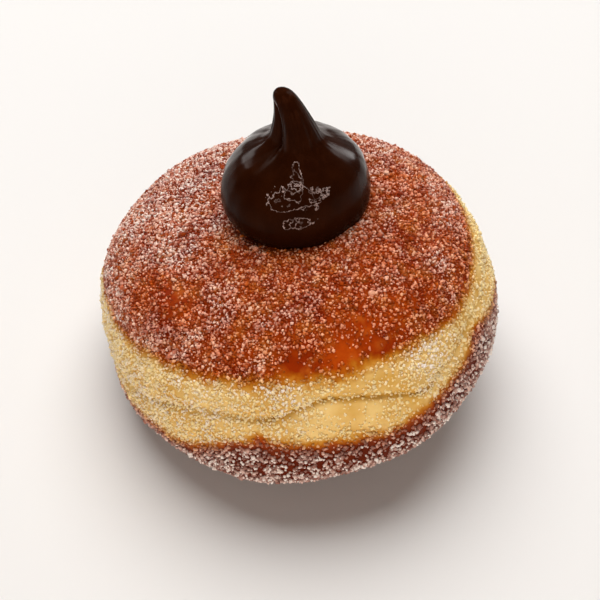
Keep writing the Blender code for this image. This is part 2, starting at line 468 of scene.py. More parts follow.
def smooth_ramp(x, low, high):
    """0 below low, 1 above high and a smooth step between."""
    share = np.clip((x - low) / (high - low), 0.0, 1.0)
    return share * share * (3 - 2 * share)


def smooth_hump(x, start, end):
    """1 between the two spans, and a smooth step from or to 0 over each."""
    return smooth_ramp(x, *start) * smooth_ramp(-x, -end[1], -end[0])


def noise_at(points, size, octaves=1):
    """Smooth noise from about -1 to 1 at each point, with lumps of this size."""
    if octaves == 1:
        return np.array([noise.noise(Vector(p)) for p in points / size])
    return np.array([noise.fractal(Vector(p), NOISE_FALL, NOISE_STEP, octaves) for p in points / size])


def crease_relief(azimuth, above):
    """The groove of the crease and the rolls of dough on both sides of it."""
    swing = (1 - CREASE_EVENNESS) * np.cos(2 * (azimuth - CREASE_DEEPEST))
    groove = -CREASE_DEPTH * (CREASE_EVENNESS + swing) * bell(above, CREASE_WIDTH)
    rolls = bell(above - ROLL_OFFSET, ROLL_OFFSET) + bell(above + ROLL_OFFSET, ROLL_OFFSET)
    return groove + ROLL_HEIGHT * rolls


def bun_places(azimuth, latitude, lump_height):
    """Points on the bun's skin, their heights above the crease and the waist's edges, and its sharpness."""
    high = latitude >= 0
    fullness = np.where(high, CROWN_FULLNESS, BASE_FULLNESS)
    height = np.where(high, CROWN_HEIGHT, BASE_HEIGHT)
    across, up = np.cos(latitude), np.abs(np.sin(latitude))
    reach = (across**fullness + up**fullness) ** (-1 / fullness)
    lobes = OVAL * np.cos(2 * (azimuth - OVAL_AZIMUTH))
    lobes += THREE_LOBE * np.cos(3 * (azimuth - THREE_LOBE_AZIMUTH))
    radius = reach * across * RADIUS * (1 + lobes)
    rise = np.where(high, 1, -1) * reach * up * height
    level = np.stack(
        [radius * np.cos(azimuth) + SHEAR_X * rise, radius * np.sin(azimuth) + SHEAR_Y * rise, rise], axis=1
    )
    turn = np.array(Matrix.Rotation(TILT_LEFT, 3, "Y") @ Matrix.Rotation(TILT_BACK, 3, "X"))
    points = level @ turn.T
    outward = np.stack([np.cos(azimuth) * across, np.sin(azimuth) * across, np.sin(latitude)], axis=1)
    degrees = np.degrees(azimuth)
    wander = CREASE_WANDER * noise_at(points, CREASE_WANDER_SIZE)
    crease = points[:, 2] - smooth_steps(CREASE_LINE, degrees)
    crown_edge = points[:, 2] - smooth_steps(CROWN_EDGE, degrees)
    base_edge = points[:, 2] - smooth_steps(BASE_EDGE, degrees)
    waist = smooth_ramp(base_edge, -WAIST_BLEND, WAIST_BLEND)
    waist *= smooth_ramp(-crown_edge, -WAIST_BLEND, WAIST_BLEND)
    relief = crease_relief(azimuth, crease) * across + DENT_DEPTH * noise_at(points, DENT_SIZE)
    sharpness = smooth_steps(CREASE_SHARPNESS, degrees)
    relief += -SLIT_DEPTH * sharpness * bell(crease + wander, SLIT_WIDTH) * waist
    relief += lump_height * noise_at(points + LUMP_SHIFT, LUMP_SIZE, 2) * waist
    relief += BLISTER_HEIGHT * noise_at(points, BLISTER_SIZE) * across
    points += outward * relief[:, None]
    points[:, 2] = np.maximum(points[:, 2] + RING_CENTRE_Z, 0.0)
    return points, crease + wander, crown_edge, base_edge, sharpness


def add_ball(name, segments, rings):
    """A ball primitive, with the azimuth and the share of the way up of each of its points."""
    bpy.ops.object.select_all(action="DESELECT")
    bpy.ops.mesh.primitive_uv_sphere_add(
        segments=segments, ring_count=rings, radius=1.0, location=(0, 0, 0)
    )
    ball = bpy.context.object
    ball.name = name
    ball.data.name = name
    places = read_points(ball.data)
    azimuth = np.arctan2(places[:, 1], places[:, 0])
    azimuth = np.where(np.abs(places[:, 2]) < POLE, azimuth, 0.0) % math.tau
    share = 1 - np.arccos(np.clip(places[:, 2], -1, 1)) / math.pi
    return ball, azimuth, share


def read_points(mesh):
    points = np.empty(len(mesh.vertices) * 3)
    mesh.vertices.foreach_get("co", points)
    return points.reshape(-1, 3)


def write_points(mesh, points):
    mesh.vertices.foreach_set("co", np.ascontiguousarray(points, dtype=np.float32).ravel())
    mesh.update()


def write_attribute(mesh, name, values):
    attribute = mesh.attributes.new(name, "FLOAT", "POINT")
    attribute.data.foreach_set("value", np.ascontiguousarray(values, dtype=np.float32))


def finish_skin(piece, material):
    bpy.ops.object.select_all(action="DESELECT")
    piece.select_set(True)
    bpy.context.view_layer.objects.active = piece
    bpy.ops.object.shade_smooth()
    piece.data.materials.clear()
    piece.data.materials.append(material)


ATTRIBUTE = "ShaderNodeAttribute"
MATH = "ShaderNodeMath"
MIX = "ShaderNodeMix"
NOISE = "ShaderNodeTexNoise"
RAMP = "ShaderNodeMapRange"
# A mix node's share is input 0, and in this form its colours are inputs 6 and 7 and output 2
COLOUR = {"out": 2, "data_type": "RGBA"}


def add_node(tree, kind, inputs=None, out=0, **settings):
    """Adds a node with its settings, links or fills its inputs, and returns the output that out names."""
    made = tree.nodes.new(kind)
    for name, value in settings.items():
        setattr(made, name, value)
    for name, value in (inputs or {}).items():
        if isinstance(value, bpy.types.NodeSocket):
            tree.links.new(value, made.inputs[name])
        elif isinstance(value, (int, float)):
            made.inputs[name].default_value = value
        elif len(value) < len(made.inputs[name].default_value):
            made.inputs[name].default_value = (*value, 1.0)
        else:
            made.inputs[name].default_value = value
    return made.outputs[out]


def start_material(name):
    material = bpy.data.materials.new(name)
    material.use_nodes = True
    tree = material.node_tree
    shader = next(n for n in tree.nodes if n.type == "BSDF_PRINCIPLED")
    return material, tree, shader, partial(add_node, tree)


def crust_colour(add, where, look):
    """The bun's colour at each place: brown crown and base, a gold edge, and the pale waist between."""
    baked = add(ATTRIBUTE, out="Fac", attribute_name="baked_mm")
    on_base = add(ATTRIBUTE, out="Fac", attribute_name="on_base")
    crease = add(ATTRIBUTE, out="Fac", attribute_name="above_crease_mm")

    # the edge of the browning wanders over lengths of 6 mm and of 1.4 mm
    for size, reach in ((0.006, 1.0), (0.0014, 0.6)):
        wander = add(NOISE, {"Vector": where, "Scale": 1 / size, "Detail": 3.0})
        wander = {0: wander, "From Min": 0.25, "From Max": 0.75, "To Min": -reach, "To Max": reach}
        baked = add(MATH, {0: baked, 1: add(RAMP, wander)}, operation="ADD")

    # patches of browning 9 mm across, with paler freckles of 3.5 mm
    patches = add(NOISE, {"Vector": where, "Scale": 1 / 0.009, "Detail": 4.0, "Roughness": 0.6})
    share = add(RAMP, {0: patches, "From Min": 0.38, "From Max": 0.60})
    crown = add(MIX, {0: share, 6: look.crown_dark, 7: look.crown}, **COLOUR)
    freckles = add(NOISE, {"Vector": where, "Scale": 1 / 0.0035, "Detail": 3.0})
    share = add(RAMP, {0: freckles, "From Min": 0.50, "From Max": 0.78})
    crown = add(MIX, {0: share, 6: crown, 7: look.crown_light}, **COLOUR)
    brown = add(MIX, {0: on_base, 6: crown, 7: look.base}, **COLOUR)

    # the waist is yellower in soft folds 8 mm apart, and deepest in the crease
    folds = add(NOISE, {"Vector": where, "Scale": 1 / 0.008, "Detail": 3.0})
    share = add(RAMP, {0: folds, "From Min": 0.36, "From Max": 0.64})
    pale = add(MIX, {0: share, 6: look.dough_deep, 7: look.dough}, **COLOUR)
    from_crease = add(MATH, {0: crease}, operation="ABSOLUTE")
    share = add(RAMP, {0: from_crease, "From Min": 0.1, "From Max": 1.1, "To Min": 0.80, "To Max": 0.0})
    sharpness = add(ATTRIBUTE, out="Fac", attribute_name="crease_share")
    share = add(MATH, {0: share, 1: sharpness}, operation="MULTIPLY")
    pale = add(MIX, {0: share, 6: pale, 7: look.crease}, **COLOUR)

    # over about 3 mm the dough goes from pale through gold and amber to brown
    share = add(RAMP, {0: baked, "From Min": -2.0, "From Max": -0.4})
    colour = add(MIX, {0: share, 6: pale, 7: look.gold}, **COLOUR)
    share = add(RAMP, {0: baked, "From Min": -0.7, "From Max": 0.5})
    colour = add(MIX, {0: share, 6: colour, 7: look.amber}, **COLOUR)
    share = add(RAMP, {0: baked, "From Min": 0.2, "From Max": 1.5})
    return add(MIX, {0: share, 6: colour, 7: brown}, **COLOUR)


def crust_material(look):
    """Yeast dough fried in deep fat: a thin brown skin with a satin gloss, and soft dough at the waist."""
    material, tree, shader, add = start_material("fried yeast dough")
    where = add("ShaderNodeTexCoord", out="Object")
    skin = crust_colour(add, where, look)
    # painted shade, partly damp: the skin is darkened where grains lie on it, standing for the shade
    # between and under the grains as well as for fat and syrup from the sugar
    under = add(ATTRIBUTE, out="Fac", attribute_name="under_sugar")
    depth = add(RAMP, {0: under, "To Min": 0.0, "To Max": 0.72})
    damp_and_shade = {0: depth, 6: skin, 7: look.damp_and_shade}
    skin = add(MIX, damp_and_shade, **COLOUR, blend_type="MULTIPLY")
    tree.links.new(skin, shader.inputs["Base Color"])
    sheen = add(NOISE, {"Vector": where, "Scale": 1 / 0.004, "Detail": 3.0})
    gloss = add(RAMP, {0: sheen, "From Min": 0.3, "From Max": 0.7, "To Min": 0.36, "To Max": 0.54})
    tree.links.new(gloss, shader.inputs["Roughness"])
    shader.inputs["Subsurface Weight"].default_value = 0.08
    shader.inputs["Subsurface Radius"].default_value = (1.0, 0.5, 0.2)
    shader.inputs["Subsurface Scale"].default_value = 0.0015
    shader.inputs["Specular IOR Level"].default_value = 0.06
    # pores of the fried skin, about 0.7 mm apart
    pores = add(NOISE, {"Vector": where, "Scale": 1 / 0.0007, "Detail": 3.0})
    relief = add("ShaderNodeBump", {"Height": pores, "Strength": 0.3, "Distance": 0.0002})
    tree.links.new(relief, shader.inputs["Normal"])
    return material


def sugar_material(look, sugar):
    """Granulated sugar: clear crystals that show the crust through them, and look white in heaps."""
    material, tree, shader, add = start_material("granulated sugar")
    where = add("ShaderNodeTexCoord", out="Object")
    skin = crust_colour(add, where, look)
    tone = add(ATTRIBUTE, out="Fac", attribute_name="tone")
    thick = add(ATTRIBUTE, out="Fac", attribute_name="thickness")
    # crystals that stand clear of the skin let more light through
    clearness = {0: tone, "From Min": 0.25, "From Max": 1.0, "To Min": 0.95, "To Max": 0.60}
    through = add("ShaderNodeGamma", {"Color": skin, "Gamma": add(RAMP, clearness)})
    # and gather it, as painted light; the lowest-toned ones are darkened below the skin's colour, as
    # painted shade in the gaps between grains, which shows most over the brown crust
    baked = add(ATTRIBUTE, out="Fac", attribute_name="baked_mm")
    painted_light_shade = add(RAMP, {0: baked, "From Min": -1.5, "From Max": 1.0, "To Min": 0.05, "To Max": 1.05})
    stand = add(MATH, {0: tone, 1: 0.40}, operation="SUBTRACT")
    painted_light_shade = add(MATH, {0: painted_light_shade, 1: stand}, operation="MULTIPLY")
    painted_light_shade = add(MATH, {0: painted_light_shade, 1: 1.0}, operation="ADD")
    through = add("ShaderNodeVectorMath", {0: through, "Scale": painted_light_shade}, operation="SCALE")
    through = add("ShaderNodeVectorMath", {0: through, 1: (0.95, 0.95, 0.95)}, operation="MINIMUM")
    # over the pale dough they glow a light yellow
    pale = add(RAMP, {0: baked, "From Min": -2.0, "From Max": 0.0, "To Min": 0.85, "To Max": 0.0})
    through = add(MIX, {0: pale, 6: through, 7: sugar.glow}, **COLOUR)
    frost = add(RAMP, {0: tone, "From Min": 0.50, "From Max": 1.0, "To Min": 0.0, "To Max": 0.28})
    # the base was rolled deeper in the sugar
    on_base = add(ATTRIBUTE, out="Fac", attribute_name="on_base")
    rolled = add(MATH, {0: on_base, 1: 0.12}, operation="MULTIPLY")
    frost = add(MATH, {0: frost, 1: rolled}, operation="ADD")
    heap = add(RAMP, {0: thick, "From Min": 0.55, "From Max": 1.0, "To Min": 0.0, "To Max": 0.68})
    upper = add(RAMP, {0: tone, "From Min": 0.25, "From Max": 0.9})
    heap = add(MATH, {0: heap, 1: upper}, operation="MULTIPLY")
    white = add(MATH, {0: frost, 1: heap}, operation="ADD")
    colour = add(MIX, {0: white, 6: through, 7: sugar.white}, **COLOUR)
    tree.links.new(colour, shader.inputs["Base Color"])
    shader.inputs["Roughness"].default_value = 0.30
    shader.inputs["Specular IOR Level"].default_value = 0.25
    return material


def chocolate_material(look):
    """Dark chocolate cream, piped and set: nearly black, with a wet gloss on shoulders and wrinkles."""
    material, tree, shader, add = start_material("dark chocolate cream")
    where = add("ShaderNodeTexCoord", out="Object")
    # clouds of colour 6 mm across, where the cream was less well mixed
    clouds = add(NOISE, {"Vector": where, "Scale": 1 / 0.006, "Detail": 2.0})
    share = add(RAMP, {0: clouds, "From Min": 0.3, "From Max": 0.7})
    body = add(MIX, {0: share, 6: look.chocolate_deep, 7: look.chocolate}, **COLOUR)
    # drawn lines of paler cream about 1 mm apart run up the horn
    level = add("ShaderNodeSeparateXYZ", {0: where}, out="Z")
    drawn = add("ShaderNodeVectorMath", {0: where, 1: (1.0, 1.0, 0.07)}, operation="MULTIPLY")
    drawn = add(NOISE, {"Vector": drawn, "Scale": 1 / 0.0012, "Detail": 2.0})
    drawn = add(RAMP, {0: drawn, "From Min": 0.5, "From Max": 0.66, "To Min": 0.0, "To Max": 0.6})
    neck = {0: level, "From Min": DOLLOP_BASE_Z + 0.016, "From Max": DOLLOP_BASE_Z + 0.022}
    share = add(MATH, {0: drawn, 1: add(RAMP, neck)}, operation="MULTIPLY")
    body = add(MIX, {0: share, 6: body, 7: look.chocolate_light}, **COLOUR)
    # painted shade: darkest over the last 7 mm above the crust, where the cream meets it
    foot = {0: level, "From Min": DOLLOP_BASE_Z + 0.0005, "From Max": DOLLOP_BASE_Z + 0.0075}
    share = add(RAMP, {**foot, "To Min": 0.85, "To Max": 0.0})
    body = add(MIX, {0: share, 6: body, 7: look.chocolate_foot_shade}, **COLOUR)
    smears = add(NOISE, {"Vector": where, "Scale": 1 / 0.003, "Detail": 3.0})
    gloss = add(RAMP, {0: smears, "From Min": 0.3, "From Max": 0.7, "To Min": 0.16, "To Max": 0.28})
    tree.links.new(gloss, shader.inputs["Roughness"])
    shader.inputs["Specular IOR Level"].default_value = 0.025
    shader.inputs["Specular Tint"].default_value = (*look.sheen, 1.0)
    # wrinkles of the set skin: ridges 0.2 mm wide that waver by 0.4 mm over lengths of 0.8 mm
    outside = add(ATTRIBUTE, out="Fac", attribute_name="from_wrinkles_mm")
    waver = add(NOISE, {"Vector": where, "Scale": 1 / 0.0008, "Detail": 3.0})
    waver = add(RAMP, {0: waver, "From Min": 0.3, "From Max": 0.7, "To Min": -0.4, "To Max": 0.4})
    outside = add(MATH, {0: outside, 1: waver}, operation="ADD")
    edge = add(MATH, {0: outside}, operation="ABSOLUTE")
    edge = add(RAMP, {0: edge, "From Min": 0.02, "From Max": 0.12, "To Min": 1.0, "To Max": 0.0})
    # finer ones about 1 mm apart inside them
    fine = add(NOISE, {"Vector": where, "Scale": 1 / 0.0030, "Detail": 3.0})
    fine = add(MATH, {0: fine, 1: 9.0}, operation="MULTIPLY")
    fine = add(MATH, {0: fine, 1: 1.0}, operation="PINGPONG")
    fine = add(RAMP, {0: fine, "From Min": 0.02, "From Max": 0.16, "To Min": 0.85, "To Max": 0.0})
    inside = add(RAMP, {0: outside, "From Min": -0.1, "From Max": 0.1, "To Min": 1.0, "To Max": 0.0})
    fine = add(MATH, {0: fine, 1: inside}, operation="MULTIPLY")
    ridge = add(MATH, {0: edge, 1: fine}, operation="MAXIMUM")
    # that come and go over lengths of 1.5 mm
    fading = add(NOISE, {"Vector": where, "Scale": 1 / 0.0015})
    fading = add(RAMP, {0: fading, "From Min": 0.38, "From Max": 0.60, "To Min": 0.25, "To Max": 1.0})
    ridge = add(MATH, {0: ridge, 1: fading}, operation="MULTIPLY")
    relief = add("ShaderNodeBump", {"Height": ridge, "Strength": 1.0, "Distance": 0.0001})
    tree.links.new(relief, shader.inputs["Normal"])
    tree.links.new(relief, shader.inputs["Coat Normal"])
    wet = add(ATTRIBUTE, out="Fac", attribute_name="wetness")
    wet = add(MATH, {0: wet, 1: ridge}, operation="MAXIMUM")
    tree.links.new(wet, shader.inputs["Coat Weight"])
    # painted highlight: the ridges of the wrinkles are mixed towards a pale pinkish grey that stands for
    # glints of light on them
    colour = add(MIX, {0: ridge, 6: body, 7: look.painted_glint}, **COLOUR)
    tree.links.new(colour, shader.inputs["Base Color"])
    shader.inputs["Coat Roughness"].default_value = 0.18
    shader.inputs["Coat IOR"].default_value = 1.80
    return material


def skin_grid(bun):
    """The bun's triangles as point numbers, all its points, and each triangle's normal and area."""
    mesh = bun.data
    mesh.calc_loop_triangles()
    corners = np.empty(len(mesh.loop_triangles) * 3, dtype=np.int32)
    mesh.loop_triangles.foreach_get("vertices", corners)
    corners = corners.reshape(-1, 3)
    # put in one order, because Blender may list the triangles in another order each time
    start = corners.argmin(axis=1)[:, None]
    corners = np.take_along_axis(corners, (start + np.arange(3)) % 3, axis=1)
    corners = corners[np.lexsort(corners.T)]
    points = read_points(mesh)
    a, b, c = (points[corners[:, k]] for k in range(3))
    cross = np.cross(b - a, c - a)
    doubled = np.linalg.norm(cross, axis=1)
    normals = cross / np.maximum(doubled, 1e-12)[:, None]
    return corners, points, normals, doubled / 2


def read_attribute(mesh, name):
    values = np.empty(len(mesh.vertices), dtype=np.float32)
    mesh.attributes[name].data.foreach_get("value", values)
    return values


def spots(points, table):
    """The sum of soft round spots on the bun, each falling smoothly away from its middle."""
    total = np.zeros(len(points))
    for x, y, height, width, amount in table:
        middle = np.array((x, y, RING_CENTRE_Z + height))
        total += amount * bell(np.linalg.norm(points - middle, axis=1), width)
    return total


def sugar_cover(points, above_crown, above_base):
    """How thick the sugar lies on the crown, the waist and the base, from 0 to 1, from heights in mm."""
    x, y = points[:, 0], points[:, 1]
    back_left = (BACK_LEFT[0] * x + BACK_LEFT[1] * y) / RADIUS
    drifts = noise_at(points, DRIFT_SIZE, 2)
    flecks = noise_at(points + FLECK_SHIFT, FLECK_SIZE, 2)
    on_crown = smooth_ramp(above_crown, *CROWN_START_MM)
    on_base = smooth_ramp(-above_base, *BASE_START_MM)
    crown = CROWN_COVER + CROWN_RIGHT * smooth_ramp(x, *CROWN_RIGHT_SPAN)
    crown = crown + CROWN_BACK_LEFT * back_left + CROWN_DRIFTS * drifts + CROWN_FLECKS * flecks
    crown = np.clip(crown - spots(points, BARE_SPOTS), CROWN_LEAST, 1.0) * on_crown
    waist = WAIST_COVER + WAIST_LEFT * smooth_ramp(-x, *WAIST_LEFT_SPAN)
    waist = waist + WAIST_DRIFTS * drifts + WAIST_FLECKS * flecks + spots(points, THICK_SPOTS)
    waist = np.clip(waist, WAIST_LEAST, 1.0)
    waist *= (1 - on_crown) * (1 - on_base)
    base = BASE_COVER + BASE_LOW * smooth_ramp(-above_base, *BASE_LOW_SPAN_MM) + BASE_FLECKS * flecks
    base = np.clip(base, 0.0, 1.0) * on_base
    return crown, waist, base


def browning(points, crown_edge, base_edge):
    """How far each place is inside the browned crust, in mm of height, below 0 on the pale waist."""
    return np.maximum(crown_edge, -base_edge) * MM_PER_M + spots(points, BROWNING_SPOTS)


def crystal_block():
    """One crystal as a tapered block: eight corners and twelve triangles, facing out."""
    corners = np.array([(x, y, z) for z in (-0.5, 0.5) for y in (-0.5, 0.5) for x in (-0.5, 0.5)])
    quads = ((0, 2, 3, 1), (4, 5, 7, 6), (0, 1, 5, 4), (2, 6, 7, 3), (0, 4, 6, 2), (1, 3, 7, 5))
    faces = [(q[0], q[1], q[2]) for q in quads] + [(q[0], q[2], q[3]) for q in quads]
    return corners, np.array(faces)


def random_turns(draw, count):
    """Evenly random rotations, as matrices."""
    q = draw.normal(size=(count, 4))
    q /= np.linalg.norm(q, axis=1)[:, None]
    w, x, y, z = q.T
    return np.stack(
        [
            np.stack([1 - 2 * (y * y + z * z), 2 * (x * y - w * z), 2 * (x * z + w * y)], axis=1),
            np.stack([2 * (x * y + w * z), 1 - 2 * (x * x + z * z), 2 * (y * z - w * x)], axis=1),
            np.stack([2 * (x * z - w * y), 2 * (y * z + w * x), 1 - 2 * (x * x + y * y)], axis=1),
        ],
        axis=1,
    )


def scatter_sugar(name, skin, cover, grain, per_mm2, most, draw, material):
    """Makes one kind of crystal as a single joined mesh, part sunk in the skin where the cover says."""
    corners, points, normals, areas, marks = skin
    weight = cover * areas
    wanted = int(min(most, weight.sum() * MM2_PER_M2 * per_mm2))
    chosen = draw.choice(len(areas), size=wanted, p=weight / weight.sum())
    u, v = draw.random((2, wanted))
    flip = u + v > 1
    u, v = np.where(flip, 1 - u, u), np.where(flip, 1 - v, v)
    share = np.stack([1 - u - v, u, v], axis=1)
    place = np.einsum("nk,nkd->nd", share, points[corners[chosen]])
    cell = np.floor(place / (grain * CELL_SHARE)).astype(np.int64)
    _, first = np.unique(cell @ np.array(CELL_KEYS), return_index=True)
    place, chosen, share = place[first], chosen[first], share[first]
    count = len(place)
    block, faces = crystal_block()
    size = grain * draw.lognormal(0.0, CRYSTAL_SPREAD, (count, 1))
    size = size * draw.uniform(*CRYSTAL_SIDES, (count, 3))
    taper = draw.uniform(*CRYSTAL_TAPER, (count, 1, 1))
    shape = np.repeat(block[None], count, axis=0)
    shape[:, 4:, :2] *= taper
    shape = np.einsum("nij,nkj->nki", random_turns(draw, count), shape * size[:, None])
    lift = size.mean(axis=1) * draw.uniform(*CRYSTAL_LIFT, count)
    shape += (place + normals[chosen] * lift[:, None])[:, None]
    clear = shape[:, :, 2].min(axis=1) > FLOOR_CLEARANCE
    shape, chosen, share = shape[clear], chosen[clear], share[clear]
    count, each = len(shape), len(block)
    index = (faces[None] + each * np.arange(count)[:, None, None]).astype(np.int32).ravel()
    mesh = bpy.data.meshes.new(name)
    mesh.vertices.add(count * each)
    mesh.loops.add(len(index))
    mesh.polygons.add(len(index) // 3)
    mesh.vertices.foreach_set("co", shape.astype(np.float32).ravel())
    mesh.loops.foreach_set("vertex_index", index)
    mesh.polygons.foreach_set("loop_start", np.arange(0, len(index), 3, dtype=np.int32))
    mesh.update(calc_edges=True)
    mesh.validate()
    write_attribute(mesh, "tone", np.repeat(draw.random(count), each))
    write_attribute(mesh, "thickness", np.repeat(cover[chosen], each))
    for mark, values in marks.items():
        at = np.einsum("nk,nk->n", share, values[corners[chosen]])
        write_attribute(mesh, mark, np.repeat(at, each))
    piece = bpy.data.objects.new(name, mesh)
    bpy.context.scene.collection.objects.link(piece)
    mesh.materials.append(material)
    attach(piece, "root")
    return piece


def dollop_places(azimuth, share, streaks):
    """Points on the dollop's skin, from the seat at share 0 to the tip of the horn at 1."""
    bottom, bottom_radius = DOLLOP_PROFILE[0]
    along = np.clip((share - DOLLOP_BOTTOM_SHARE) / (1 - DOLLOP_BOTTOM_SHARE), 0.0, 1.0)
    height = bottom + (HORN_HEIGHT - bottom) * np.sin(along * math.pi / 2) ** DOLLOP_RING_EASE
    radius = np.maximum(smooth_steps(DOLLOP_PROFILE, height), 0.0)
    radius = np.where(share < DOLLOP_BOTTOM_SHARE, bottom_radius * share / DOLLOP_BOTTOM_SHARE, radius)
    rise = np.clip((height - HORN_START) / (HORN_HEIGHT - HORN_START), 0.0, 1.0)
    flat = DOLLOP_FLAT * bell(turn_between(azimuth, DOLLOP_FLAT_AZIMUTH), DOLLOP_FLAT_SPREAD)
    oval = 1 + (DOLLOP_OVAL * np.cos(2 * azimuth) - flat) * (1 - rise)
    groove = HORN_GROOVE * np.sin(math.pi * np.minimum(rise / HORN_GROOVE_LENGTH, 1.0))
    groove *= bell(turn_between(azimuth, HORN_GROOVE_AZIMUTH), HORN_GROOVE_SPREAD)
    slot = HORN_SLOT * smooth_hump(rise, HORN_SLOT_START, HORN_SLOT_END)
    groove += slot * bell(turn_between(azimuth, HORN_SLOT_AZIMUTH), HORN_SLOT_SPREAD)
    along = height / STREAK_LENGTH / STREAK_TURNS
    turns = STREAK_TURNS * np.stack([np.cos(azimuth), np.sin(azimuth), along], axis=1)
    drawn = streaks * noise_at(turns, 1.0) * np.minimum(radius / STREAK_FADE, 1.0)
    radius = radius * oval * (1 - groove) + drawn
    shift = HORN_BEND * rise**HORN_CURL + SHOULDER_SHIFT * bell(height - SHOULDER_HEIGHT, SHOULDER_SPREAD)
    return np.stack(
        [
            DOLLOP_X + shift + radius * np.cos(azimuth),
            DOLLOP_Y + radius * np.sin(azimuth),
            DOLLOP_BASE_Z + height,
        ],
        axis=1,
    )


def from_wrinkles(points, azimuth, height):
    """How far each place of the dollop is outside the wavy wrinkle rings, in mm, below 0 inside."""
    wobble = WRINKLE_WOBBLE * noise_at(points, WRINKLE_WOBBLE_SIZE, 2)
    outside = np.full(len(points), 1.0)
    for middle, level, half_turn, half_height in WRINKLE_RINGS:
        aside = turn_between(azimuth, math.radians(middle)) / math.radians(half_turn)
        ring = np.hypot(aside, (height - level) / half_height) + wobble - 1
        outside = np.minimum(outside, ring * half_height * MM_PER_M)
    return outside


def wetness(azimuth, height):
    """1 where the dollop's shoulders and the rim of the slot are wettest, falling smoothly to 0."""
    shoulders = np.zeros(len(azimuth))
    for middle, width in WET_SHOULDERS:
        shoulders += bell(turn_between(azimuth, math.radians(middle)), math.radians(width))
    around = np.stack([np.cos(azimuth), np.sin(azimuth), height * WET_STREAK_RISE], axis=1)
    shoulders *= bell(height - WET_HEIGHT, WET_RISE)
    shoulders *= WET_EVEN + WET_UNEVEN * noise_at(WET_STREAKS * around, 1.0, 2)
    rim = bell(turn_between(azimuth, HORN_SLOT_AZIMUTH + WET_RIM_TURN), WET_RIM_SPREAD)
    rim *= smooth_hump(height, WET_RIM_START, WET_RIM_END)
    return np.clip(np.maximum(shoulders, rim), 0.0, 1.0)


class DOUGHNUT_OT_bun(bpy.types.Operator):
    """Models the fried bun with its crease and pale waist"""

    bl_idname = "doughnut.bun"
    bl_label = "Bun"

    def execute(self, context):
        look = context.scene.doughnut_crust
        bun, azimuth, share = add_ball("fried_bun", BUN_SEGMENTS, BUN_RINGS)
        latitude = np.interp(
            share, (0, WAIST_START, WAIST_END, 1), (-math.pi / 2, WAIST_LOW, WAIST_HIGH, math.pi / 2)
        )
        points, crease, crown_edge, base_edge, sharpness = bun_places(azimuth, latitude, look.lump_height)
        write_points(bun.data, points)
        crown, waist, base = sugar_cover(points, crown_edge * MM_PER_M, base_edge * MM_PER_M)
        write_attribute(bun.data, "above_crease_mm", crease * MM_PER_M)
        write_attribute(bun.data, "crease_share", sharpness)
        write_attribute(bun.data, "above_crown_mm", crown_edge * MM_PER_M)
        write_attribute(bun.data, "above_base_mm", base_edge * MM_PER_M)
        write_attribute(bun.data, "baked_mm", browning(points, crown_edge, base_edge))
        write_attribute(bun.data, "on_base", smooth_ramp(-base_edge, -WAIST_BLEND, WAIST_BLEND))
        # how thick the sugar lies, which darkens the skin as damp and painted shade
        write_attribute(bun.data, "under_sugar", np.maximum(crown, base) + WAIST_DAMP_AND_SHADE * waist)
        finish_skin(bun, crust_material(look))
        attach(bun, "root")
        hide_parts("doughnut")
        return {"FINISHED"}


class DOUGHNUT_OT_dollop(bpy.types.Operator):
    """Models the piped chocolate dollop and seats it on the crown"""

    bl_idname = "doughnut.dollop"
    bl_label = "Dollop"

    def execute(self, context):
        look = context.scene.doughnut_dollop
        dollop, azimuth, share = add_ball("piped_chocolate", DOLLOP_SEGMENTS, DOLLOP_RINGS)
        points = dollop_places(azimuth, share, look.streaks)
        bun = bpy.data.objects["fried_bun"]
        crown = BVHTree.FromObject(bun, context.evaluated_depsgraph_get())
        for index, point in enumerate(points):
            hit = crown.ray_cast(Vector((point[0], point[1], 1.0)), Vector((0, 0, -1)))[0]
            points[index, 2] = max(point[2], hit.z - DOLLOP_SINK)
        write_points(dollop.data, points)
        height = points[:, 2] - DOLLOP_BASE_Z
        write_attribute(dollop.data, "from_wrinkles_mm", from_wrinkles(points, azimuth, height))
        write_attribute(dollop.data, "wetness", wetness(azimuth, height))
        finish_skin(dollop, chocolate_material(look))
        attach(dollop, "root")
        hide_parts("chocolate_dollop")
        return {"FINISHED"}


class DOUGHNUT_OT_sugar(bpy.types.Operator):
    """Rolls the bun in granulated sugar"""

    bl_idname = "doughnut.sugar"
    bl_label = "Sugar"

    def execute(self, context):
        sugar, look = context.scene.doughnut_sugar, context.scene.doughnut_crust
        bun = bpy.data.objects["fried_bun"]
        corners, points, normals, areas = skin_grid(bun)
        names = ("above_crease_mm", "baked_mm", "on_base", "crease_share")
        marks = {name: read_attribute(bun.data, name) for name in names}
        middles = points[corners].mean(axis=1)
        crown_mm = read_attribute(bun.data, "above_crown_mm")[corners].mean(axis=1)
        base_mm = read_attribute(bun.data, "above_base_mm")[corners].mean(axis=1)
        crown, waist, base = sugar_cover(middles, crown_mm, base_mm)
        from_dollop = np.hypot(middles[:, 0] - DOLLOP_X, middles[:, 1] - DOLLOP_Y)
        crown *= smooth_ramp(from_dollop, *DOLLOP_CLEAR)
        base *= smooth_ramp(middles[:, 2], *FOOT_CLEAR)
        covers = {"crown": crown, "waist": waist, "base": base}
        skin = (corners, points, normals, areas, marks)
        draw = np.random.default_rng(sugar.seed)
        clear = sugar_material(look, sugar)
        for name, place, length, density, most in SUGAR_KINDS:
            grain, per_mm2 = sugar.grain * length, sugar.per_mm2 * density
            scatter_sugar(name, skin, covers[place], grain, per_mm2, most, draw, clear)
        return {"FINISHED"}


